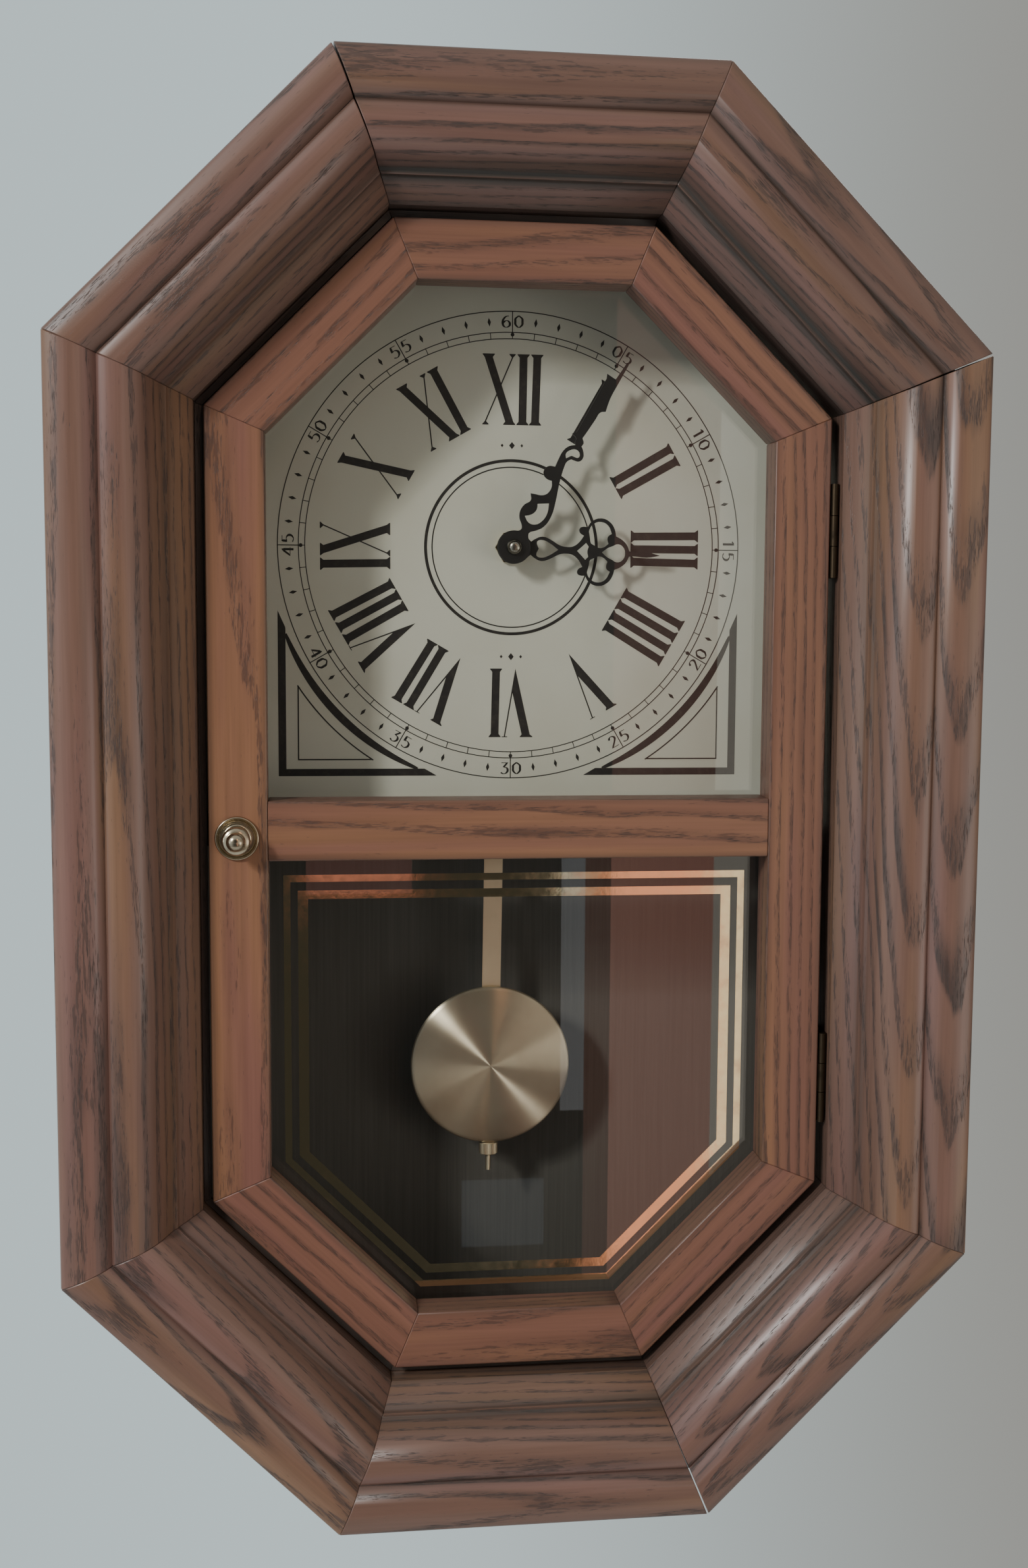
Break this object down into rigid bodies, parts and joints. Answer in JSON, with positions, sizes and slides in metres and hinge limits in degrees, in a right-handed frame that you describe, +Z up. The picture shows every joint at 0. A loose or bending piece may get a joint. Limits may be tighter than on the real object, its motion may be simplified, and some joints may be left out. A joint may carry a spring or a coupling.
{
  "type": "schoolhouse wall clock",
  "caption": "Octagonal oak wall clock with a hinged two-pane door, Roman dial, pierced hands, battery movement and a swinging pendulum.",
  "frame": {"origin": "middle of the case's back, on the wall plane", "axes": "+Z up along the tall side, +Y into the wall, so the dial faces -Y, and +X to the right of someone facing the dial"},
  "size_m": [0.384, 0.1322, 0.6096],
  "materials": {
    "oak_moulding": "medium brown stain, semi-gloss varnish, darker glaze in the grooves",
    "oak_case": "medium brown stain, satin varnish",
    "oak_door": "medium brown stain, semi-gloss varnish",
    "plywood": "bare plywood",
    "fibreboard": "bare hardboard",
    "dial_print": "printed, satin",
    "glass": "clear, polished",
    "brass": "polished, lacquered",
    "pale_brass": "satin, lacquered",
    "bob_brass": "radially brushed, lacquered",
    "aged_brass": "antique, dark",
    "zinc_steel": "zinc plated",
    "black_metal": "black, satin",
    "black_plastic": "moulded, fine texture",
    "white_plastic": "moulded",
    "copper_wire": "enamelled copper wire",
    "battery_jacket": "printed sleeve"
  },
  "bodies": {
    "case": {"moulding_top": "oak_moulding", "case_side_top": "oak_case", "moulding_top_right": "oak_moulding", "case_side_top_right": "oak_case", "moulding_right": "oak_moulding", "case_side_right": "oak_case", "moulding_bottom_right": "oak_moulding", "case_side_bottom_right": "oak_case", "moulding_bottom": "oak_moulding", "case_side_bottom": "oak_case", "moulding_bottom_left": "oak_moulding", "case_side_bottom_left": "oak_case", "moulding_left": "oak_moulding", "case_side_left": "oak_case", "moulding_top_left": "oak_moulding", "case_side_top_left": "oak_case", "back_panel": "plywood", "hanger_plate": "zinc_steel", "dial_board": "fibreboard", "dial": "dial_print", "catch_magnet": "black_plastic", "hinge_upper_case_leaf": "aged_brass", "hinge_lower_case_leaf": "aged_brass", "movement_case": "black_plastic", "movement_cover": "black_plastic", "dial_nut": "brass", "battery": "battery_jacket", "drive_coil": "copper_wire", "speaker": "black_metal"},
    "door": {"door_top_rail": "oak_door", "door_top_right_rail": "oak_door", "door_right_stile": "oak_door", "door_bottom_right_rail": "oak_door", "door_bottom_rail": "oak_door", "door_bottom_left_rail": "oak_door", "door_left_stile": "oak_door", "door_top_left_rail": "oak_door", "door_mid_rail": "oak_door", "door_knob": "brass", "door_strike": "zinc_steel", "dial_glass": "glass", "pendulum_glass": "glass", "knob_plate": "brass", "hinge_upper_door_leaf": "aged_brass", "hinge_lower_door_leaf": "aged_brass"},
    "minute": {"minute_hand": "black_metal", "hand_nut": "brass", "centre_wheel": "brass", "set_knob": "white_plastic"},
    "hour": {"hour_hand": "black_metal", "hour_wheel": "brass"},
    "minute_wheel": {"minute_wheel": "brass"},
    "third_wheel": {"third_wheel": "brass"},
    "rotor": {"rotor": "zinc_steel"},
    "pendulum": {"pendulum_hook": "black_plastic", "pendulum_rod": "pale_brass"},
    "bob": {"pendulum_bob": "bob_brass"},
    "rating_nut": {"rating_nut": "brass"},
    "chime_switch": {"chime_switch": "white_plastic"},
    "volume_switch": {"volume_switch": "white_plastic"}
  },
  "joints": [
    {"name": "door_hinge", "type": "hinge", "parent": "case", "child": "door", "pos_m": [0.13405, -0.0985, 0], "axis": [0, 0, 1], "range_deg": [0, 97]},
    {"name": "minute_hand_turn", "type": "hinge", "parent": "case", "child": "minute", "pos_m": [0, -0.035, 0.1125], "axis": [0, 1, 0], "continuous": true},
    {"name": "hour_hand_turn", "type": "hinge", "parent": "case", "child": "hour", "pos_m": [0, -0.035, 0.1125], "axis": [0, 1, 0], "continuous": true},
    {"name": "minute_wheel_turn", "type": "hinge", "parent": "case", "child": "minute_wheel", "pos_m": [0, -0.034, 0.10242], "axis": [0, 1, 0], "continuous": true},
    {"name": "third_wheel_turn", "type": "hinge", "parent": "case", "child": "third_wheel", "pos_m": [-0.01192, -0.029, 0.10816], "axis": [0, 1, 0], "continuous": true},
    {"name": "rotor_turn", "type": "hinge", "parent": "case", "child": "rotor", "pos_m": [-0.0225, -0.027, 0.10816], "axis": [0, 1, 0], "continuous": true},
    {"name": "pendulum_swing", "type": "hinge", "parent": "case", "child": "pendulum", "pos_m": [-0.0045, -0.03, 0.0615], "axis": [0, 1, 0], "range_deg": [-5.8, 4.2]},
    {"name": "bob_slide", "type": "slide", "parent": "pendulum", "child": "bob", "axis": [0.014, 0, 0.9999], "range_m": [-0.003, 0.003]},
    {"name": "rating_nut_turn", "type": "hinge", "parent": "bob", "child": "rating_nut", "pos_m": [-0.00771, -0.0276, -0.16818], "axis": [0.014, 0, 0.9999], "range_deg": [-1560, 1560]},
    {"name": "chime_switch_slide", "type": "slide", "parent": "case", "child": "chime_switch", "axis": [1, 0, 0], "range_m": [0, 0.004]},
    {"name": "volume_switch_slide", "type": "slide", "parent": "case", "child": "volume_switch", "axis": [1, 0, 0], "range_m": [0, 0.004]}
  ],
  "couplings": [
    {"joint": "hour_hand_turn", "follows": "minute_hand_turn", "ratio": 0.083333},
    {"joint": "minute_wheel_turn", "follows": "minute_hand_turn", "ratio": -0.33333},
    {"joint": "third_wheel_turn", "follows": "minute_hand_turn", "ratio": -8},
    {"joint": "rotor_turn", "follows": "minute_hand_turn", "ratio": 48},
    {"joint": "rating_nut_turn", "follows": "bob_slide", "rad_per_m": 8976}
  ]
}
